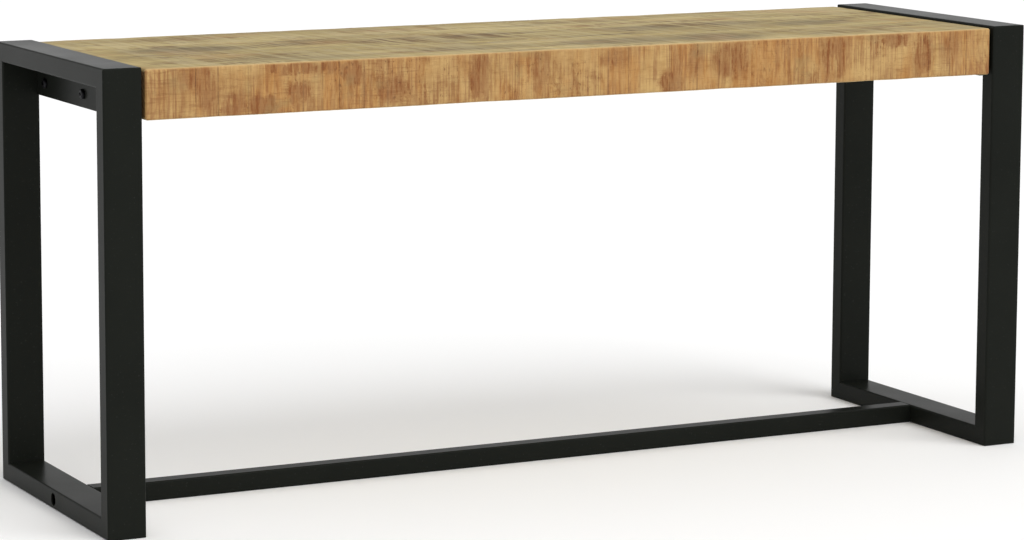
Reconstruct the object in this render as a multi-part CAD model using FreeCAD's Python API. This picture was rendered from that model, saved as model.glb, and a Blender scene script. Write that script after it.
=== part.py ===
"""Entryway bench: a thick rough-sawn mango seat held between two welded steel loops.

Row frame in millimetres: X runs along the bench, -Y is the front, +Z is up, and the
origin is on the floor below the middle of the seat. Each end frame is a closed loop of
flat rectangular tube, mitred at its four corners. A steel plate welded inside each loop
carries the ends of the seat boards on screws, and a square stretcher ties the loops
together at floor level.
"""
import FreeCAD, Part
import os

from FreeCAD import Vector

# Overall size
LENGTH = 1060.0
DEPTH = 310.0
HEIGHT = 460.0

# Rectangular tube of the end frames, wide face along X
TUBE_WIDE = 40.0
TUBE_THIN = 20.0
TUBE_WALL = 1.5
TUBE_CORNER = 2.0
MITRE_CORNER = 1.6

# Seat: boards glued edge to edge
SEAT_THICK = 50.0
SEAT_BELOW_FRAME = 2.0
SEAT_INSET_Y = 0.5
SEAT_EASE = 2.0
BOARD_NAMES = ("seat_board_front", "seat_board_middle", "seat_board_rear")

# Plates that carry the seat, welded under each top rail
PLATE_THICK = 6.0
PLATE_PROUD = 3.5
PLATE_DROP = 35.0
PLATE_EASE = 1.0

# Seat screws, M6 button head, and the threaded inserts in the end grain
SCREW_Y = (-110.0, 0.0, 110.0)
SCREW_Z = 419.0
THREAD_RADIUS = 3.0
THREAD_GAP = 0.05
CLEARANCE_RADIUS = 3.3
BUTTON_RADIUS = 5.25
BUTTON_HEIGHT = 3.3
BUTTON_DOME = 2.2
BUTTON_SOCKET = 4.0
SEAT_SCREW_SHANK = 30.0
INSERT_RADIUS = 5.0
INSERT_LENGTH = 20.0
PILOT_EXTRA = 8.0

# Stretcher and the screws that hold it to the bottom rails
STRETCHER = 20.0
PLUG_LENGTH = 15.0
PLUG_CHAMFER = 1.0
ACCESS_RADIUS = 6.5
WASHER_RADIUS = 6.0
WASHER_THICK = 1.6
CAP_RADIUS = 5.0
CAP_HEIGHT = 6.0
CAP_EDGE = 0.6
CAP_SOCKET = 5.0
SOCKET_DEPTH_SHARE = 0.6
CAP_SCREW_SHANK = 20.0

# Places that follow from the sizes above
END_X = -LENGTH / 2
INNER_X = END_X + TUBE_WIDE
PLATE_INNER_X = INNER_X + PLATE_PROUD
PLATE_OUTER_X = PLATE_INNER_X - PLATE_THICK
FRONT_Y = -DEPTH / 2
SEAT_TOP_Z = HEIGHT - SEAT_BELOW_FRAME
SEAT_BOTTOM_Z = SEAT_TOP_Z - SEAT_THICK
MID_TUBE_Z = TUBE_THIN / 2
OVERRUN = 5.0


def box(x, y, z, dx, dy, dz):
    """A box from its lowest corner and its three sizes."""
    return Part.makeBox(dx, dy, dz, Vector(x, y, z))


def rounded_box(x, y, z, dx, dy, dz, radius, axis):
    """A box with the four edges that run along one axis rounded."""
    solid = box(x, y, z, dx, dy, dz)
    along = []
    for edge in solid.Edges:
        if abs(abs(edge.tangentAt(edge.FirstParameter).dot(axis)) - 1) < 1e-6:
            along.append(edge)
    return solid.makeFillet(radius, along)


def cylinder_x(radius, x_start, length, y, z):
    """A round bar along +X."""
    return Part.makeCylinder(radius, length, Vector(x_start, y, z), Vector(1, 0, 0))


def hexagon_x(across_flats, x_start, length, y, z):
    """A hexagonal prism along +X, the shape of a key socket."""
    circle_radius = across_flats / 3 ** 0.5
    centre = Vector(x_start, y, z)
    turn = FreeCAD.Rotation(Vector(1, 0, 0), 60)
    arm = Vector(0, circle_radius, 0)
    corners = [centre + arm]
    for _ in range(5):
        arm = turn.multVec(arm)
        corners.append(centre + arm)
    outline = Part.makePolygon(corners + [corners[0]])
    return Part.Face(outline).extrude(Vector(length, 0, 0))


def mirrored(shape):
    """The same shape on the right end of the bench."""
    return shape.mirror(Vector(0, 0, 0), Vector(1, 0, 0))


def tube(x, y, z, dx, dy, dz, axis):
    """A straight rectangular tube along one axis, open at both ends."""
    outer = rounded_box(x, y, z, dx, dy, dz, TUBE_CORNER, axis)
    inset = Vector(TUBE_WALL, TUBE_WALL, TUBE_WALL) - axis * (TUBE_WALL + OVERRUN)
    inner = rounded_box(
        x + inset.x, y + inset.y, z + inset.z,
        dx - 2 * inset.x, dy - 2 * inset.y, dz - 2 * inset.z,
        TUBE_CORNER - TUBE_WALL, axis,
    )
    return outer.cut(inner)


def mitre_wedge(corners_yz):
    """The region that one side of the loop keeps after mitring, from its (y, z) corners."""
    points = [Vector(END_X - OVERRUN, y, z) for y, z in corners_yz]
    wedge = Part.Face(Part.makePolygon(points + [points[0]])).extrude(
        Vector(TUBE_WIDE + 2 * OVERRUN, 0, 0)
    )
    block = rounded_box(
        END_X - OVERRUN, FRONT_Y, 0, TUBE_WIDE + 2 * OVERRUN, DEPTH, HEIGHT,
        MITRE_CORNER, Vector(1, 0, 0),
    )
    return wedge.common(block)


def loop_sides():
    """The four mitred tubes of the left end frame, by name."""
    low, high = TUBE_THIN, HEIGHT - TUBE_THIN
    front_in, rear_in = FRONT_Y + TUBE_THIN, -FRONT_Y - TUBE_THIN
    up, across = Vector(0, 0, 1), Vector(0, 1, 0)
    leg = (TUBE_WIDE, TUBE_THIN, HEIGHT, up)
    rail = (TUBE_WIDE, DEPTH, TUBE_THIN, across)
    front = [(FRONT_Y, 0), (FRONT_Y, HEIGHT), (front_in, high), (front_in, low)]
    rear = [(-y, z) for y, z in front]
    top = [(FRONT_Y, HEIGHT), (-FRONT_Y, HEIGHT), (rear_in, high), (front_in, high)]
    bottom = [(y, HEIGHT - z) for y, z in top]
    return {
        "front_leg": tube(END_X, FRONT_Y, 0, *leg).common(mitre_wedge(front)),
        "rear_leg": tube(END_X, rear_in, 0, *leg).common(mitre_wedge(rear)),
        "top_rail": tube(END_X, FRONT_Y, high, *rail).common(mitre_wedge(top)),
        "bottom_rail": bottom_rail(tube(END_X, FRONT_Y, 0, *rail).common(mitre_wedge(bottom))),
    }


def bottom_rail(plain):
    """Adds the key access hole in the outer wall and the screw hole in the inner wall."""
    access = cylinder_x(ACCESS_RADIUS, END_X - OVERRUN, TUBE_WIDE / 2, 0, MID_TUBE_Z)
    through = cylinder_x(CLEARANCE_RADIUS, END_X, TUBE_WIDE + OVERRUN, 0, MID_TUBE_Z)
    return plain.cut(access).cut(through)


def seat_plate():
    """The plate under the left top rail that the seat screws pass through."""
    clear_depth = DEPTH - 2 * TUBE_THIN
    top_z = HEIGHT - TUBE_THIN
    plate = rounded_box(
        PLATE_OUTER_X, -clear_depth / 2, top_z - PLATE_DROP,
        PLATE_THICK, clear_depth, PLATE_DROP, PLATE_EASE, Vector(0, 1, 0),
    )
    drill_x, drill_length = PLATE_OUTER_X - OVERRUN, PLATE_THICK + 2 * OVERRUN
    for y in SCREW_Y:
        plate = plate.cut(cylinder_x(CLEARANCE_RADIUS, drill_x, drill_length, y, SCREW_Z))
    return plate


def seat_boards():
    """The seat boards, with insert seats and pilot holes in their end grain."""
    start_y = FRONT_Y + SEAT_INSET_Y
    width = (DEPTH - 2 * SEAT_INSET_Y) / len(BOARD_NAMES)
    length = -2 * PLATE_INNER_X
    blank = rounded_box(
        PLATE_INNER_X, start_y, SEAT_BOTTOM_Z, length, DEPTH - 2 * SEAT_INSET_Y, SEAT_THICK,
        SEAT_EASE, Vector(1, 0, 0),
    )
    for y in SCREW_Y:
        hole = cylinder_x(
            INSERT_RADIUS, PLATE_INNER_X - OVERRUN, INSERT_LENGTH + OVERRUN, y, SCREW_Z
        )
        pilot = cylinder_x(
            CLEARANCE_RADIUS, PLATE_INNER_X, INSERT_LENGTH + PILOT_EXTRA, y, SCREW_Z
        )
        for cutter in (hole, pilot):
            blank = blank.cut(cutter).cut(mirrored(cutter))
    boards = {}
    for i, name in enumerate(BOARD_NAMES):
        slice_box = box(
            PLATE_INNER_X - OVERRUN, start_y + i * width, SEAT_BOTTOM_Z - OVERRUN,
            length + 2 * OVERRUN, width, SEAT_THICK + 2 * OVERRUN,
        )
        boards[name] = blank.common(slice_box)
    return boards


def screw(head, head_height, shank_length, seat_x, y, z, socket):
    """A socket screw whose head rests on seat_x and whose shank points along +X."""
    shank = cylinder_x(THREAD_RADIUS - THREAD_GAP, seat_x, shank_length, y, z)
    key = hexagon_x(
        socket, seat_x - head_height, head_height * SOCKET_DEPTH_SHARE, y, z
    )
    return head.fuse(shank).cut(key).removeSplitter()


def outer_rim(solid, x):
    """The edges of a head that lie on its outer face."""
    found = []
    for edge in solid.Edges:
        span = edge.BoundBox
        if abs(span.XMin - x) < 1e-6 and abs(span.XMax - x) < 1e-6:
            found.append(edge)
    return found


def button_screw(y):
    """One seat screw with a domed head on the outer face of the plate."""
    x = PLATE_OUTER_X - BUTTON_HEIGHT
    head = cylinder_x(BUTTON_RADIUS, x, BUTTON_HEIGHT, y, SCREW_Z)
    head = head.makeFillet(BUTTON_DOME, outer_rim(head, x))
    return screw(
        head, BUTTON_HEIGHT, SEAT_SCREW_SHANK, PLATE_OUTER_X, y, SCREW_Z, BUTTON_SOCKET
    )


def insert(y):
    """One threaded insert, flush with the end grain."""
    body = cylinder_x(INSERT_RADIUS, PLATE_INNER_X, INSERT_LENGTH, y, SCREW_Z)
    return body.cut(cylinder_x(THREAD_RADIUS, PLATE_INNER_X - 1, INSERT_LENGTH + 2, y, SCREW_Z))


def stretcher():
    """The square tube between the two bottom rails."""
    return tube(INNER_X, -STRETCHER / 2, 0, -2 * INNER_X, STRETCHER, STRETCHER, Vector(1, 0, 0))


def stretcher_plug():
    """The tapped block welded into the left end of the stretcher."""
    side = STRETCHER - 2 * TUBE_WALL
    block = box(INNER_X, -side / 2, TUBE_WALL, PLUG_LENGTH, side, side)
    along = [e for e in block.Edges if abs(e.Length - PLUG_LENGTH) < 1e-6]
    block = block.makeChamfer(PLUG_CHAMFER, along)
    return block.cut(cylinder_x(THREAD_RADIUS, INNER_X - 1, PLUG_LENGTH + 2, 0, MID_TUBE_Z))


def stretcher_washer():
    """The washer between the screw head and the inner wall of the left bottom rail."""
    x = INNER_X - TUBE_WALL - WASHER_THICK
    ring = cylinder_x(WASHER_RADIUS, x, WASHER_THICK, 0, MID_TUBE_Z)
    return ring.cut(cylinder_x(CLEARANCE_RADIUS, x - 1, WASHER_THICK + 2, 0, MID_TUBE_Z))


def stretcher_screw():
    """The cap screw inside the left bottom rail."""
    seat_x = INNER_X - TUBE_WALL - WASHER_THICK
    x = seat_x - CAP_HEIGHT
    head = cylinder_x(CAP_RADIUS, x, CAP_HEIGHT, 0, MID_TUBE_Z)
    head = head.makeChamfer(CAP_EDGE, outer_rim(head, x))
    return screw(head, CAP_HEIGHT, CAP_SCREW_SHANK, seat_x, 0, MID_TUBE_Z, CAP_SOCKET)


def left_end():
    """Everything that the left end has and the right end mirrors, by name."""
    pieces = loop_sides()
    pieces["seat_plate"] = seat_plate()
    pieces["seat_screws"] = Part.makeCompound([button_screw(y) for y in SCREW_Y])
    pieces["seat_inserts"] = Part.makeCompound([insert(y) for y in SCREW_Y])
    pieces["stretcher_screw"] = stretcher_screw()
    pieces["stretcher_washer"] = stretcher_washer()
    pieces["stretcher_plug"] = stretcher_plug()
    return pieces


def main():
    os.makedirs("parts", exist_ok=True)
    nodes = {"stretcher": stretcher(), **seat_boards()}
    for name, shape in left_end().items():
        nodes["left_" + name] = shape
        nodes["right_" + name] = mirrored(shape)
    for name, shape in nodes.items():
        print(name, "valid", shape.isValid(), "solids", len(shape.Solids))
        shape.exportStep(os.path.join("parts", name + ".step"))


main()
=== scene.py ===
"""Looks of the entryway bench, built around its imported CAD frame."""

import math
from typing import NamedTuple

import bpy
from mathutils import Matrix, Vector, noise


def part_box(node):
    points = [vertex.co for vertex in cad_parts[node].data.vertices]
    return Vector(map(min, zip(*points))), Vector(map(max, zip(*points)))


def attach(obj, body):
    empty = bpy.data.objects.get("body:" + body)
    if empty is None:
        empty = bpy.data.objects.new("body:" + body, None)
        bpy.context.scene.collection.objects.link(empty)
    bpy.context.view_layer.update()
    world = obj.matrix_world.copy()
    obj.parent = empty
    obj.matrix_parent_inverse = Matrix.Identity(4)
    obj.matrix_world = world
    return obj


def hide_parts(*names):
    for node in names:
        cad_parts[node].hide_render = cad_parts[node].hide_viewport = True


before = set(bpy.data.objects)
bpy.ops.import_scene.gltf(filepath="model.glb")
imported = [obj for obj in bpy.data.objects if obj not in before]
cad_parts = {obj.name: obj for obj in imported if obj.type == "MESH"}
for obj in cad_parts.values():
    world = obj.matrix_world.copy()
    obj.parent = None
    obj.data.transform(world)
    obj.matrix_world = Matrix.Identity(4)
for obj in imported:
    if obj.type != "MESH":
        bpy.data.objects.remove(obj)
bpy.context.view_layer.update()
MM = 0.001
QUARTER_TURN = math.radians(90)

# Camera: place in metres, aim, lens in millimetres, shift in picture widths
CAMERA_PLACE = (-1.704, -3.263, 0.803)
CAMERA_YAW = math.radians(25.24)
CAMERA_PITCH = math.radians(7.73)
CAMERA_ROLL = math.radians(-0.07)
CAMERA_LENS = 123.1
CAMERA_SHIFT = (0.129, -0.088)
SENSOR_WIDTH = 36.0
CLIP_END = 200.0

# Studio sky: height from horizon 0 to zenith 1, and brightness there
SKY_STRENGTH = 1.35
SKY_BANDS = ((0.13, 1.0), (0.20, 0.30), (0.6, 0.44), (0.9, 0.75))
KEY_STRENGTH = 1.5
KEY_SPREAD = math.radians(50)
KEY_TURN = (math.radians(42), 0, math.radians(22))
FLOOR_REACH = 60.0
FLOOR_WHITE = 0.95
FLOOR_ROUGHNESS = 0.9
FLOOR_GLOSS = 0.1

# Shape of the rough-sawn boards
STATION_PITCH = 1.25 * MM
OUTER_EASE = 2.4 * MM
JOINT_EASE = 0.5 * MM
ARC_STEPS = 6
SIDE_STEPS = 9
END_EASE = 3.0 * MM
END_STEPS = 5
TOP_SLOT, SIDE_SLOT, END_SLOT = 0, 1, 2
LEVEL_ENOUGH = 0.7

# Saw marks cut into them: depths, and noise waves per metre along and around the board
SAW_DEPTH = 0.18 * MM
SAW_MEAN = 0.55
SAW_SWING = 0.35
SAW_SLOPE = 0.12
FINE_WAVES = (330, 6)
BROAD_WAVES = (70, 10)
BROAD_SEED = 9.2
WEAR_DEPTH = 0.3 * MM
WEAR_WAVES = (28, 40)
WEAR_SEED = 4.4
WEAR_RANGE = (-0.1, 0.7)

# Sawn surface of the boards' tops, undersides and sides
WOOD_ROUGHNESS = 0.55
WOOD_ROUGHNESS_SWING = 0.2
WOOD_GLOSS = 0.3

# Bump of every wood face, the ends included
BUMP_STRENGTH = 0.3
BUMP_HEIGHT = 0.4 * MM

# Slant of the saw marks painted on the top
TOP_SLANT = math.radians(-7)

# Where a painted highlight or a group of stains fades in: from none to full, in metres
UPPER_HALF_Z = (0.43, 0.44)
# Painted highlight along the front edge of the top and underside
FRONT_ARRIS_HIGHLIGHT_Y = (-0.1495, -0.1525)
# Painted highlight along the top edge of the front and back faces
TOP_ARRIS_HIGHLIGHT_Z = (0.4555, 0.4572)

# Growth rings at the ends of the front face: centre x and z, and the x range they fade in over
END_RINGS = ((-0.512, 0.428, -0.415, -0.46), (0.508, 0.442, 0.43, 0.465))
END_RING_WAVES = 46.0
END_GRAIN_WAVES = 60.0
END_GRAIN_DROP = 0.30

COATED = ("front_leg", "rear_leg", "top_rail", "bottom_rail", "seat_plate", "stretcher_plug")
SEAT_PLAN = (
    # node, seed, front ease, rear ease, colour of the top, whether it is the front board
    ("seat_board_front", 1.3, OUTER_EASE, JOINT_EASE, (194, 174, 120), True),
    ("seat_board_middle", 5.9, JOINT_EASE, JOINT_EASE, (182, 164, 110), False),
    ("seat_board_rear", 11.7, JOINT_EASE, OUTER_EASE, (192, 174, 122), False),
)

# Mineral stains: place along the board, place across it, half width, half height, all in
# metres, and strength. The front's are rust-brown.
FRONT_STAINS = (
    (-0.440, 0.446, 0.014, 0.011, 0.55), (-0.423, 0.436, 0.012, 0.020, 1.00),
    (-0.395, 0.418, 0.012, 0.012, 0.95), (-0.364, 0.417, 0.018, 0.010, 0.95),
    (-0.348, 0.452, 0.012, 0.006, 0.80), (-0.325, 0.452, 0.016, 0.008, 0.90),
    (-0.325, 0.427, 0.014, 0.012, 0.95), (-0.296, 0.451, 0.016, 0.007, 0.80),
    (-0.268, 0.446, 0.014, 0.014, 0.90), (-0.222, 0.425, 0.014, 0.014, 0.70),
    (-0.128, 0.436, 0.012, 0.026, 0.90), (-0.060, 0.434, 0.010, 0.022, 0.50),
    (0.025, 0.447, 0.014, 0.012, 0.60), (0.092, 0.418, 0.015, 0.012, 0.65),
    (0.120, 0.440, 0.008, 0.022, 0.60), (0.165, 0.440, 0.024, 0.022, 0.70),
    (0.290, 0.436, 0.020, 0.024, 0.70), (0.365, 0.450, 0.020, 0.007, 0.75),
    (0.400, 0.436, 0.014, 0.024, 0.80), (0.436, 0.440, 0.014, 0.018, 0.45),
)
TOP_BROWN = (
    (-0.348, 0.110, 0.060, 0.024, 0.6), (-0.240, 0.020, 0.060, 0.024, 0.7),
    (-0.130, 0.002, 0.080, 0.027, 0.9), (-0.047, 0.015, 0.045, 0.020, 0.9),
    (0.218, 0.030, 0.060, 0.024, 0.7), (0.330, -0.115, 0.060, 0.024, 0.5),
    (-0.100, 0.105, 0.090, 0.020, 0.5), (0.120, 0.112, 0.080, 0.020, 0.5),
)
TOP_GREY = (
    (-0.380, 0.005, 0.070, 0.034, 0.9), (-0.310, -0.120, 0.080, 0.024, 0.5),
    (-0.120, -0.100, 0.080, 0.027, 0.5), (0.065, -0.105, 0.080, 0.031, 0.8),
    (0.170, -0.112, 0.055, 0.037, 1.0), (0.146, 0.012, 0.060, 0.024, 0.8),
    (0.351, -0.010, 0.055, 0.027, 0.8), (0.270, 0.022, 0.040, 0.024, 0.7),
)
FRONT_TEAR = (0.022, 0.024)
TOP_TEAR = (0.05, 0.022)
TEAR_WAVES = 120.0
STAIN_EDGE = (1.35, 0.5)
RUST_GAIN = 1.8
RUST_MOST = 0.95
LINE_CORE = 0.4

PAINT_IOR = 1.13


class Layer(NamedTuple):
    """A noise mask: waves per metre along X, Y and Z, and the noise values it runs between.

    A shift of None keeps the board's own place in the noise. Any other shift moves the
    layer along it and puts it elsewhere across it, so that two layers don't coincide.
    """
    scale: tuple
    start: float
    full: float
    detail: float = 2.0
    roughness: float = 0.5
    distortion: float = 0.0
    shift: tuple = None


TOP_CLOUD = Layer((4, 26, 5), 0.35, 0.65, detail=3.0)
TOP_GRAIN = Layer((3, 110, 3), 0.4, 0.7, detail=4.0, roughness=0.65, distortion=0.3)
TOP_FINE_SAW = Layer((330, 12, 9), 0.38, 0.62, detail=3.0, roughness=0.7)
TOP_BROAD_SAW = Layer((120, 8, 6), 0.42, 0.58, detail=3.0, roughness=0.65)
TOP_BROWN_PATCHES = Layer((9, 44, 7), 0.52, 0.64, detail=4.0, roughness=0.65, distortion=0.6)
TOP_GREY_PATCHES = Layer(
    (8, 38, 6), 0.54, 0.66, detail=4.0, roughness=0.6, distortion=0.5, shift=(3.1, 1.7, 0)
)
TOP_WARM = Layer((9, 20, 9), 0.54, 0.7, shift=(-5.3, 2.9, 0))

SIDE_CLOUD = Layer((16, 16, 34), 0.35, 0.65, detail=5.0, roughness=0.65)
SIDE_WARM = Layer((24, 24, 8), 0.44, 0.62, detail=4.0, roughness=0.6)
SIDE_FINE_SAW = Layer((420, 420, 9), 0.38, 0.6, detail=3.0, roughness=0.7)
SIDE_BANDS = Layer((150, 150, 11), 0.44, 0.6, detail=4.0, roughness=0.7, distortion=0.15)
SIDE_SHORT_SAW = Layer(
    (240, 240, 34), 0.42, 0.6, detail=3.0, roughness=0.7, shift=(2.3, 0, 0.8)
)
SIDE_TORN = Layer((120, 120, 80), 0.36, 0.6, detail=4.0, roughness=0.75)
SIDE_PATCHES = Layer((17, 17, 13), 0.46, 0.6, detail=4.0, roughness=0.65, distortion=0.3)
SIDE_COARSE = Layer((21, 21, 30), 0.38, 0.6, detail=3.0, roughness=0.6, shift=(-3.9, 0, 2.2))
SIDE_PORES = Layer((45, 45, 620), 0.52, 0.66, detail=4.0, roughness=0.7, distortion=1.2)
SIDE_GRAIN = Layer(
    (26, 26, 260), 0.5, 0.66, detail=5.0, roughness=0.75, distortion=0.8, shift=(0, 0, 5.1)
)
SIDE_GRAIN_AREAS = Layer((11, 11, 5), 0.45, 0.6, shift=(4.2, 0, 3.3))
SIDE_GREY = Layer((19, 19, 24), 0.56, 0.7, detail=4.0, roughness=0.65, shift=(7.7, 0, 1.3))
SIDE_LINE_AREAS = Layer((13, 0.1, 0.1), 0.4, 0.6, detail=1.0, shift=(0, 0, 0))
SIDE_FLECKS = Layer((330, 330, 190), 0.6, 0.7, roughness=0.6)
END_PORES = Layer((900, 900, 900), 0.56, 0.66)
PAINT_SPECKS = Layer((420, 420, 420), 0.69, 0.74, detail=1.0)


def smoothstep(low, high, value):
    t = min(max((value - low) / (high - low), 0.0), 1.0)
    return t * t * (3 - 2 * t)


class Graph:
    """A material's node tree, with short names for the nodes it is made of."""

    def __init__(self, name):
        self.material = bpy.data.materials.new(name)
        self.material.use_nodes = True
        self.tree = self.material.node_tree
        self.shader = self.tree.nodes["Principled BSDF"]
        self.place = self.node("ShaderNodeTexCoord").outputs["Object"]

    def node(self, kind, **settings):
        made = self.tree.nodes.new(kind)
        for key, value in settings.items():
            setattr(made, key, value)
        return made

    def feed(self, socket, value):
        """Links a node's output to a socket, or sets the socket to a plain value."""
        if isinstance(value, bpy.types.NodeSocket):
            self.tree.links.new(value, socket)
        else:
            socket.default_value = value

    def math(self, operation, a, b):
        made = self.node("ShaderNodeMath", operation=operation)
        self.feed(made.inputs[0], a)
        self.feed(made.inputs[1], b)
        return made.outputs[0]

    def product(self, first, *others):
        for other in others:
            first = self.math("MULTIPLY", first, other)
        return first

    def lift(self, value, low, gain):
        """A mask made to run from low to low + gain."""
        return self.math("ADD", low, self.product(value, gain))

    def inverse(self, value):
        return self.math("SUBTRACT", 1.0, value)

    def stretched(self, scale, turn=0.0, shift=(0, 0, 0)):
        """Object coordinates turned about Z and shifted, then scaled."""
        turned = self.node("ShaderNodeMapping")
        self.feed(turned.inputs["Vector"], self.place)
        turned.inputs["Rotation"].default_value = (0, 0, turn)
        turned.inputs["Location"].default_value = shift
        scaled = self.node("ShaderNodeMapping")
        self.feed(scaled.inputs["Vector"], turned.outputs[0])
        scaled.inputs["Scale"].default_value = scale
        return scaled.outputs[0]

    def noise(self, scale, detail, roughness=0.5, distortion=0.0, turn=0.0, shift=(0, 0, 0)):
        made = self.node("ShaderNodeTexNoise")
        self.feed(made.inputs["Vector"], self.stretched(scale, turn, shift))
        made.inputs["Scale"].default_value = 1.0
        made.inputs["Detail"].default_value = detail
        made.inputs["Roughness"].default_value = roughness
        made.inputs["Distortion"].default_value = distortion
        return made.outputs["Fac"]

    def step(self, value, low, high):
        """0 at low, 1 at high, smooth between."""
        made = self.node("ShaderNodeMapRange", interpolation_type="SMOOTHSTEP")
        self.feed(made.inputs["Value"], value)
        made.inputs["From Min"].default_value = low
        made.inputs["From Max"].default_value = high
        return made.outputs[0]

    def layer(self, kind, board_place=(0, 0, 0), turn=0.0):
        """The mask of a Layer, at a board's own place in the noise."""
        shift = board_place
        if kind.shift is not None:
            shift = (board_place[0] + kind.shift[0], kind.shift[1], kind.shift[2])
        pattern = self.noise(
            kind.scale, kind.detail, kind.roughness, kind.distortion, turn, shift
        )
        return self.step(pattern, kind.start, kind.full)

    def mix(self, share, a, b):
        made = self.node("ShaderNodeMix", data_type="RGBA", blend_type="MIX")
        self.feed(made.inputs["Factor"], share)
        self.feed(made.inputs["A"], a)
        self.feed(made.inputs["B"], b)
        return made.outputs["Result"]

    def tint(self, base, mask, colour, strength=1.0):
        """The base colour with another one laid over it where the mask says."""
        return self.mix(self.product(mask, strength), base, colour)

    def axis(self, name):
        made = self.node("ShaderNodeSeparateXYZ")
        self.feed(made.inputs[0], self.place)
        return made.outputs[name]

    def bump(self, height, strength=BUMP_STRENGTH, distance=BUMP_HEIGHT):
        made = self.node("ShaderNodeBump")
        made.inputs["Strength"].default_value = strength
        made.inputs["Distance"].default_value = distance
        self.feed(made.inputs["Height"], height)
        self.feed(self.shader.inputs["Normal"], made.outputs[0])

    def wood_surface(self, colour, broad_marks, height):
        self.feed(self.shader.inputs["Base Color"], colour)
        roughness = self.lift(broad_marks, WOOD_ROUGHNESS, WOOD_ROUGHNESS_SWING)
        self.feed(self.shader.inputs["Roughness"], roughness)
        self.shader.inputs["Specular IOR Level"].default_value = WOOD_GLOSS
        self.bump(height)


def srgb(red, green, blue):
    """A display colour, 0 to 255, as the linear colour that the shader takes."""
    out = []
    for value in (red, green, blue):
        c = value / 255
        out.append(c / 12.92 if c <= 0.04045 else ((c + 0.055) / 1.055) ** 2.4)
    return (*out, 1.0)


TOP_COLOURS = {
    "dull": srgb(164, 146, 95),
    "grain": srgb(150, 128, 82),
    "brown stain": srgb(98, 68, 34),
    "grey stain": srgb(92, 82, 62),
    "warm cast": srgb(172, 132, 84),
    "saw shade": srgb(118, 94, 58),
    "saw line": srgb(110, 84, 52),
    # painted highlight along the eased front edge of the top
    "arris_highlight": srgb(205, 172, 122),
}
SIDE_COLOURS = {
    "pale": srgb(188, 154, 98),
    "tan": srgb(163, 124, 73),
    "warm cast": srgb(171, 120, 62),
    "rust stain": srgb(124, 70, 28),
    "saw shade": srgb(126, 76, 40),
    "raised": srgb(208, 172, 112),
    "pore": srgb(118, 76, 42),
    "ring": srgb(142, 96, 58),
    "grain": srgb(120, 72, 36),
    "grey cast": srgb(146, 122, 78),
    "saw line": srgb(84, 48, 26),
    "fleck": srgb(96, 54, 28),
    # painted highlight along the top edge of the front and back faces
    "arris_highlight": srgb(194, 156, 102),
}
END_COLOURS = {
    "early": srgb(176, 136, 86),
    "late": srgb(140, 100, 60),
    "pore": srgb(92, 62, 38),
}
PAINT_COLOURS = {
    "deep": srgb(21, 23, 20),
    "dusty": srgb(29, 31, 27),
    "speck": srgb(62, 62, 60),
}
METALS = {
    # light colour, dark colour, roughness
    "black_screws": ((46, 46, 48), (24, 24, 26), 0.34),
    "zinc_washers": ((196, 198, 200), (150, 152, 156), 0.3),
    "brass_inserts": ((206, 170, 96), (150, 116, 60), 0.3),
}


def stain_field(g, stains, across, tear):
    """How strongly the stains colour a face. Noise tears their outline by up to tear."""
    cloud = g.node("ShaderNodeTexNoise")
    g.feed(cloud.inputs["Vector"], g.place)
    cloud.inputs["Scale"].default_value = TEAR_WAVES
    cloud.inputs["Detail"].default_value = 5.0
    cloud.inputs["Roughness"].default_value = 0.65
    warped = g.node("ShaderNodeVectorMath", operation="MULTIPLY_ADD")
    g.feed(warped.inputs[0], cloud.outputs["Color"])
    warped.inputs[1].default_value = (tear[0], tear[1], tear[1])
    g.feed(warped.inputs[2], g.place)
    total = 0.0
    for along, side, half_along, half_side, strength in stains:
        move_along = -(along + tear[0] / 2) / half_along
        move_side = -(side + tear[1] / 2) / half_side
        local = g.node("ShaderNodeMapping")
        g.feed(local.inputs["Vector"], warped.outputs[0])
        if across == "Z":
            local.inputs["Location"].default_value = (move_along, 0.0, move_side)
            local.inputs["Scale"].default_value = (1 / half_along, 0.0, 1 / half_side)
        else:
            local.inputs["Location"].default_value = (move_along, move_side, 0.0)
            local.inputs["Scale"].default_value = (1 / half_along, 1 / half_side, 0.0)
        reach = g.node("ShaderNodeVectorMath", operation="LENGTH")
        g.feed(reach.inputs[0], local.outputs[0])
        spot = g.product(g.step(reach.outputs["Value"], *STAIN_EDGE), strength)
        total = g.math("MAXIMUM", total, spot)
    return total


def saw_lines(g, per_metre, offset, reach, turn=0.0):
    """Thin dark saw lines across the board at uneven spacing."""
    along = g.node("ShaderNodeSeparateXYZ")
    scale = (per_metre, per_metre, per_metre)
    g.feed(along.inputs[0], g.stretched(scale, turn, (offset, 0, 0)))
    cells = g.node(
        "ShaderNodeTexVoronoi", voronoi_dimensions="1D", feature="DISTANCE_TO_EDGE"
    )
    g.feed(cells.inputs["W"], along.outputs["X"])
    cells.inputs["Scale"].default_value = 1.0
    return g.step(cells.outputs["Distance"], reach, LINE_CORE * reach)


def on_board(stains, low_y, high_y):
    """The top stains that reach a board."""
    return [s for s in stains if low_y - 2 * s[3] < s[1] < high_y + 2 * s[3]]


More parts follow.
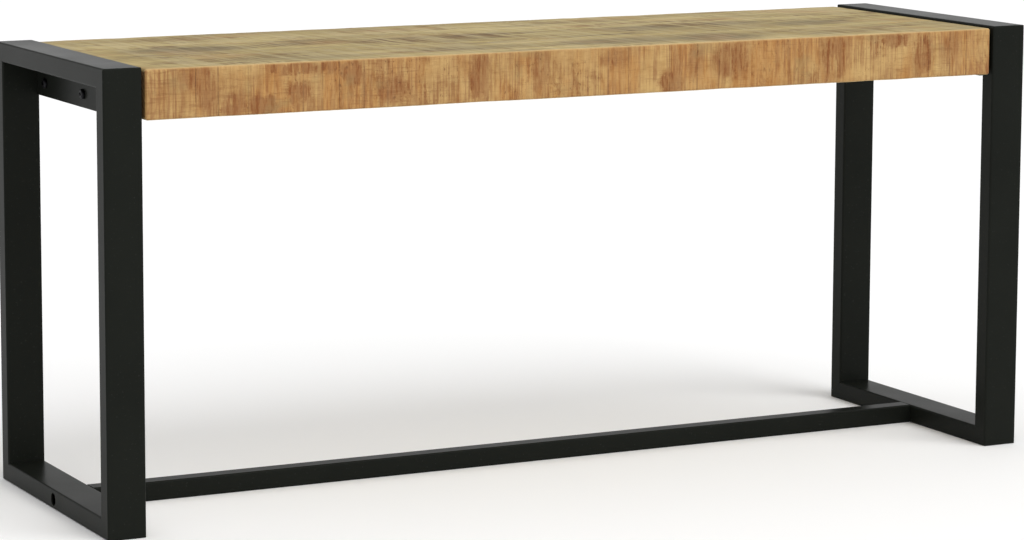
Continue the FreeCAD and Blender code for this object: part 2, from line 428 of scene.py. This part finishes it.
def sawn_top(name, offset, tone, low_y, high_y):
    """Top and underside of a board: pale and dusty, with slanted saw marks."""
    g = Graph(name)
    colours = TOP_COLOURS
    here = (offset, offset * 0.37, 0)
    base = g.mix(g.layer(TOP_CLOUD, here), srgb(*tone), colours["dull"])
    base = g.tint(base, g.layer(TOP_GRAIN, here), colours["grain"], strength=0.5)

    fine = g.layer(TOP_FINE_SAW, here, TOP_SLANT)
    broad = g.layer(TOP_BROAD_SAW, here, TOP_SLANT)
    marks = g.product(g.math("ADD", fine, broad), 0.5)
    upper = g.step(g.axis("Z"), *UPPER_HALF_Z)

    patches = g.layer(TOP_BROWN_PATCHES, here)
    spots = g.product(stain_field(g, on_board(TOP_BROWN, low_y, high_y), "Y", TOP_TEAR), upper)
    brown = g.math("MAXIMUM", g.product(patches, 0.7), spots)
    brown = g.product(brown, g.step(marks, 0.15, 0.7))
    base = g.tint(base, brown, colours["brown stain"])

    patches = g.layer(TOP_GREY_PATCHES, here)
    spots = g.product(stain_field(g, on_board(TOP_GREY, low_y, high_y), "Y", TOP_TEAR), upper)
    grey = g.math("MAXIMUM", g.product(patches, 0.55), spots)
    grey = g.product(grey, g.lift(marks, 0.45, 0.55))
    base = g.tint(base, grey, colours["grey stain"], strength=0.85)

    base = g.tint(base, g.layer(TOP_WARM, here), colours["warm cast"], strength=0.35)
    base = g.tint(base, g.inverse(fine), colours["saw shade"], strength=0.2)
    lines = saw_lines(g, per_metre=45, offset=offset, reach=0.05, turn=TOP_SLANT)
    base = g.tint(base, lines, colours["saw line"], strength=0.3)
    # Painted highlight: the top is lightened along its front edge, where the eased arris
    # catches the light
    arris_highlight = g.step(g.axis("Y"), *FRONT_ARRIS_HIGHLIGHT_Y)
    base = g.tint(base, arris_highlight, colours["arris_highlight"], strength=0.5)
    g.wood_surface(base, broad, g.math("ADD", fine, g.product(broad, 0.6)))
    return g.material


def ring_marks(g, centre_x, centre_z, inner_x, outer_x):
    """Curved growth rings near an end of the front board, fading towards its middle."""
    rings = g.node("ShaderNodeTexWave", wave_type="RINGS", rings_direction="SPHERICAL")
    local = g.node("ShaderNodeMapping")
    g.feed(local.inputs["Vector"], g.place)
    local.inputs["Location"].default_value = (-centre_x, 0.0, -centre_z)
    local.inputs["Scale"].default_value = (1.0, 0.0, 1.0)
    g.feed(rings.inputs["Vector"], local.outputs[0])
    rings.inputs["Scale"].default_value = END_RING_WAVES
    rings.inputs["Distortion"].default_value = 5.0
    rings.inputs["Detail"].default_value = 4.0
    rings.inputs["Detail Scale"].default_value = 0.6
    near = g.step(g.axis("X"), inner_x, outer_x)
    return g.product(g.step(rings.outputs["Fac"], 0.5, 0.9), near)


def front_rust(g, marks, torn):
    """The front face's stains, broken up by its saw marks."""
    spots = stain_field(g, FRONT_STAINS, "Z", FRONT_TEAR)
    spots = g.product(spots, g.step(marks, 0.08, 0.58), g.lift(torn, 0.5, 0.5), RUST_GAIN)
    return g.math("MINIMUM", spots, RUST_MOST)


def sawn_side(name, offset, is_front):
    """Front and back faces: warm tan with upright saw marks and rust-brown streaks."""
    g = Graph(name)
    colours = SIDE_COLOURS
    here = (offset, 0, offset * 0.41)
    base = g.mix(g.layer(SIDE_CLOUD, here), colours["pale"], colours["tan"])
    base = g.tint(base, g.layer(SIDE_WARM, here), colours["warm cast"], strength=0.8)

    fine = g.layer(SIDE_FINE_SAW, here)
    bands = g.layer(SIDE_BANDS, here)
    short = g.layer(SIDE_SHORT_SAW, here)
    torn = g.layer(SIDE_TORN, here)
    patches = g.layer(SIDE_PATCHES, here)
    rust = g.product(bands, patches, torn)
    if is_front:
        marks = g.product(g.math("ADD", g.math("ADD", fine, bands), short), 1 / 3)
        rust = g.math("MAXIMUM", g.product(rust, 0.85), front_rust(g, marks, torn))
    base = g.tint(base, rust, colours["rust stain"])

    shade = g.lift(g.layer(SIDE_COARSE, here), 0.18, 0.5)
    base = g.tint(base, g.product(g.inverse(fine), shade), colours["saw shade"])
    base = g.tint(base, short, colours["raised"], strength=0.22)
    base = g.tint(base, g.layer(SIDE_PORES, here), colours["pore"], strength=0.3)
    if is_front:
        rings = g.math("ADD", *(ring_marks(g, *end) for end in END_RINGS))
        base = g.tint(base, rings, colours["ring"], strength=0.3)
    grain = g.product(g.layer(SIDE_GRAIN, here), g.layer(SIDE_GRAIN_AREAS, here))
    base = g.tint(base, grain, colours["grain"], strength=0.45)
    base = g.tint(base, g.layer(SIDE_GREY, here), colours["grey cast"], strength=0.45)

    lines = saw_lines(g, per_metre=38, offset=offset, reach=0.03)
    lines = g.product(lines, g.lift(torn, 0.2, 0.4), g.layer(SIDE_LINE_AREAS, here))
    base = g.tint(base, lines, colours["saw line"])
    flecks = g.product(g.layer(SIDE_FLECKS, here), g.lift(patches, 0.15, 0.5))
    base = g.tint(base, flecks, colours["fleck"])
    # Painted highlight: the face is lightened along its top edge, where the eased arris
    # catches the light
    arris_highlight = g.step(g.axis("Z"), *TOP_ARRIS_HIGHLIGHT_Z)
    base = g.tint(base, arris_highlight, colours["arris_highlight"], strength=0.4)
    g.wood_surface(base, bands, g.math("ADD", fine, g.product(bands, 0.7)))
    return g.material


def end_grain(name, offset):
    """Board ends: growth rings cut across."""
    g = Graph(name)
    rings = g.node("ShaderNodeTexWave", wave_type="RINGS", rings_direction="X")
    shift = (0, offset * 0.01, -END_GRAIN_DROP)
    g.feed(rings.inputs["Vector"], g.stretched((1, 1, 1), shift=shift))
    rings.inputs["Scale"].default_value = END_GRAIN_WAVES
    rings.inputs["Distortion"].default_value = 3.0
    rings.inputs["Detail"].default_value = 3.0
    base = g.mix(rings.outputs["Fac"], END_COLOURS["early"], END_COLOURS["late"])
    pores = g.layer(END_PORES)
    base = g.tint(base, pores, END_COLOURS["pore"], strength=0.5)
    g.feed(g.shader.inputs["Base Color"], base)
    g.feed(g.shader.inputs["Roughness"], g.lift(pores, 0.65, 0.2))
    g.bump(g.math("SUBTRACT", rings.outputs["Fac"], pores))
    return g.material


def powder_coat():
    """Black powder coat: fine orange peel, faint dust and slightly polished patches."""
    g = Graph("frame_black")
    peel = g.noise((1400, 1400, 1400), 2.0)
    cloud = g.noise((9, 9, 9), 4.0, 0.6)
    base = g.mix(cloud, PAINT_COLOURS["deep"], PAINT_COLOURS["dusty"])
    base = g.tint(base, g.layer(PAINT_SPECKS), PAINT_COLOURS["speck"], strength=0.25)
    g.feed(g.shader.inputs["Base Color"], base)
    g.feed(g.shader.inputs["Roughness"], g.lift(cloud, 0.24, 0.16))
    g.shader.inputs["IOR"].default_value = PAINT_IOR
    g.bump(g.math("ADD", peel, g.product(cloud, 0.3)), strength=0.12, distance=0.3 * MM)
    return g.material


def metal(name):
    """Bare or plated metal with turning marks and handling wear."""
    light, dark, rough = METALS[name]
    g = Graph(name)
    turning = g.noise((900, 300, 300), 3.0, 0.6)
    wear = g.noise((160, 160, 160), 4.0, 0.6)
    g.feed(g.shader.inputs["Base Color"], g.mix(wear, srgb(*light), srgb(*dark)))
    g.feed(g.shader.inputs["Roughness"], g.lift(wear, rough, 0.22))
    g.shader.inputs["Metallic"].default_value = 1.0
    g.bump(turning, strength=0.15, distance=0.2 * MM)
    return g.material


def corner(cy, cz, radius, start):
    """Arc points of one rounded edge of a board, each with its outward direction."""
    out = []
    for i in range(ARC_STEPS + 1):
        angle = start + QUARTER_TURN * i / ARC_STEPS
        ny, nz = math.cos(angle), math.sin(angle)
        out.append((cy + radius * ny, cz + radius * nz, ny, nz, 1.0))
    return out


def profile(low, high, ease_front, ease_rear):
    """The board's cross section, as (y, z, outward y, outward z, edge share) going round."""
    arcs = (
        corner(high.y - ease_rear, high.z - ease_rear, ease_rear, 0.0),
        corner(low.y + ease_front, high.z - ease_front, ease_front, QUARTER_TURN),
        corner(low.y + ease_front, low.z + ease_front, ease_front, 2 * QUARTER_TURN),
        corner(high.y - ease_rear, low.z + ease_rear, ease_rear, 3 * QUARTER_TURN),
    )
    out = []
    for k, arc in enumerate(arcs):
        out += arc
        y0, z0, ny, nz, _ = arc[-1]
        y1, z1 = arcs[(k + 1) % len(arcs)][0][:2]
        for i in range(1, SIDE_STEPS):
            t = i / SIDE_STEPS
            out.append((y0 + (y1 - y0) * t, z0 + (z1 - z0) * t, ny, nz, 0.0))
    return out


def stations(low_x, high_x):
    """Places along the board with how far each one is drawn in, for the eased ends."""
    ends = []
    for i in range(1, END_STEPS + 1):
        angle = QUARTER_TURN * i / END_STEPS
        ends.append((END_EASE * (1 - math.sin(angle)), END_EASE * (1 - math.cos(angle))))
    ends.sort()
    span = high_x - low_x - 2 * END_EASE
    count = round(span / STATION_PITCH)
    left = [(low_x + along, inset) for along, inset in ends]
    middle = [(low_x + END_EASE + span * i / count, 0.0) for i in range(count + 1)]
    right = [(high_x - along, inset) for along, inset in reversed(ends)]
    return left + middle + right


def saw_depth(x, y, z, seed, edge):
    """How far below the flat face the sawn surface lies."""
    along = x - SAW_SLOPE * y
    around = y + z
    fine = noise.noise(Vector((along * FINE_WAVES[0], seed, around * FINE_WAVES[1])))
    broad_seed = seed + BROAD_SEED
    broad = noise.noise(Vector((along * BROAD_WAVES[0], broad_seed, around * BROAD_WAVES[1])))
    depth = SAW_DEPTH * (SAW_MEAN + SAW_SWING * fine + SAW_SWING * broad)
    wear = noise.noise(Vector((x * WEAR_WAVES[0], seed + WEAR_SEED, z * WEAR_WAVES[1])))
    return max(depth, 0.0) + edge * WEAR_DEPTH * smoothstep(*WEAR_RANGE, wear)


def board_surface(rows, outline, seed, ease_front, ease_rear):
    """The sawn board's points, row after row along it."""
    is_outer = ease_front + ease_rear > 2 * JOINT_EASE
    verts = []
    for x, inset in rows:
        for y, z, ny, nz, edge in outline:
            depth = saw_depth(x, y, z, seed, edge if is_outer else 0.0)
            is_glued = (ease_front if ny < 0 else ease_rear) == JOINT_EASE
            inset_y = 0.0 if is_glued else inset
            verts.append((x, y - ny * (depth + inset_y), z - nz * (depth + inset)))
    return verts


def board_faces(row_count, outline):
    """The sawn board's faces, each with its material slot."""
    n = len(outline)
    faces, slots = [], []
    for r in range(row_count - 1):
        for i in range(n):
            j = (i + 1) % n
            a = r * n
            faces.append((a + i, a + n + i, a + n + j, a + j))
            level = abs(outline[i][3] + outline[j][3]) / 2
            slots.append(TOP_SLOT if level > LEVEL_ENOUGH else SIDE_SLOT)
    faces.append(tuple(range(n)))
    faces.append(tuple(reversed(range((row_count - 1) * n, row_count * n))))
    slots += [END_SLOT, END_SLOT]
    return faces, slots


def sawn_board(node, seed, ease_front, ease_rear, materials):
    """A sawn board that stands for its CAD node."""
    low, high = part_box(node)
    outline = profile(low, high, ease_front, ease_rear)
    rows = stations(low.x, high.x)
    faces, slots = board_faces(len(rows), outline)
    mesh = bpy.data.meshes.new(node + "_sawn")
    mesh.from_pydata(board_surface(rows, outline, seed, ease_front, ease_rear), [], faces)
    for material in materials:
        mesh.materials.append(material)
    mesh.polygons.foreach_set("material_index", slots)
    mesh.polygons.foreach_set("use_smooth", [s != END_SLOT for s in slots])
    mesh.update()
    board = bpy.data.objects.new(node + "_sawn", mesh)
    bpy.context.scene.collection.objects.link(board)
    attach(board, "root")
    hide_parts(node)


def build_seat():
    for node, seed, ease_front, ease_rear, tone, is_front in SEAT_PLAN:
        low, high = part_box(node)
        materials = (
            sawn_top(node + "_top", seed, tone, low.y, high.y),
            sawn_side(node + "_side", seed, is_front),
            end_grain(node + "_end", seed),
        )
        sawn_board(node, seed, ease_front, ease_rear, materials)


def dress(node, material):
    """Gives a CAD node its material, and leaves its mesh as it is."""
    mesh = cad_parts[node].data
    mesh.materials.clear()
    mesh.materials.append(material)


def dress_frame():
    coat = powder_coat()
    oxide = metal("black_screws")
    zinc = metal("zinc_washers")
    brass = metal("brass_inserts")
    dress("stretcher", coat)
    for side in ("left", "right"):
        for part in COATED:
            dress(f"{side}_{part}", coat)
        dress(side + "_seat_screws", oxide)
        dress(side + "_stretcher_screw", oxide)
        dress(side + "_stretcher_washer", zinc)
        dress(side + "_seat_inserts", brass)


def build_camera():
    level = Vector((math.sin(CAMERA_YAW), math.cos(CAMERA_YAW), 0))
    ahead = level * math.cos(CAMERA_PITCH) - Vector((0, 0, math.sin(CAMERA_PITCH)))
    right = ahead.cross(Vector((0, 0, 1))).normalized()
    up = right.cross(ahead)
    c, s = math.cos(CAMERA_ROLL), math.sin(CAMERA_ROLL)
    right, up = right * c + up * s, up * c - right * s
    data = bpy.data.cameras.new("camera")
    data.lens = CAMERA_LENS
    data.sensor_width = SENSOR_WIDTH
    data.shift_x, data.shift_y = CAMERA_SHIFT
    data.clip_end = CLIP_END
    camera = bpy.data.objects.new("camera", data)
    turn = Matrix((right, up, -ahead)).transposed().to_4x4()
    camera.matrix_world = Matrix.Translation(CAMERA_PLACE) @ turn
    bpy.context.scene.collection.objects.link(camera)
    bpy.context.scene.camera = camera


def build_sky():
    """A white horizon, a darker band over it, and a brighter zenith."""
    world = bpy.data.worlds.new("studio")
    world.use_nodes = True
    tree = world.node_tree
    place = tree.nodes.new("ShaderNodeTexCoord")
    height = tree.nodes.new("ShaderNodeSeparateXYZ")
    bands = tree.nodes.new("ShaderNodeValToRGB")
    background = tree.nodes["Background"]
    tree.links.new(place.outputs["Generated"], height.inputs[0])
    tree.links.new(height.outputs["Z"], bands.inputs[0])
    tree.links.new(bands.outputs[0], background.inputs["Color"])
    background.inputs["Strength"].default_value = SKY_STRENGTH
    elements = bands.color_ramp.elements
    elements[0].position = SKY_BANDS[0][0]
    elements[1].position = SKY_BANDS[-1][0]
    for height_share, _ in SKY_BANDS[1:-1]:
        elements.new(height_share)
    for element, (_, level) in zip(elements, SKY_BANDS):
        element.color = (level, level, level, 1.0)
    bpy.context.scene.world = world


def build_key_light():
    data = bpy.data.lights.new("key", "SUN")
    data.energy = KEY_STRENGTH
    data.angle = KEY_SPREAD
    key = bpy.data.objects.new("key", data)
    key.rotation_euler = KEY_TURN
    bpy.context.scene.collection.objects.link(key)


def build_floor():
    far = FLOOR_REACH
    mesh = bpy.data.meshes.new("floor")
    corners = [(-far, -far, 0), (far, -far, 0), (far, far, 0), (-far, far, 0)]
    mesh.from_pydata(corners, [], [(0, 1, 2, 3)])
    floor = bpy.data.objects.new("floor", mesh)
    bpy.context.scene.collection.objects.link(floor)
    g = Graph("floor")
    g.shader.inputs["Base Color"].default_value = (FLOOR_WHITE, FLOOR_WHITE, FLOOR_WHITE, 1.0)
    g.shader.inputs["Roughness"].default_value = FLOOR_ROUGHNESS
    g.shader.inputs["Specular IOR Level"].default_value = FLOOR_GLOSS
    mesh.materials.append(g.material)


build_seat()
dress_frame()
build_camera()
build_sky()
build_key_light()
build_floor()
bpy.context.scene.view_settings.view_transform = "Standard"
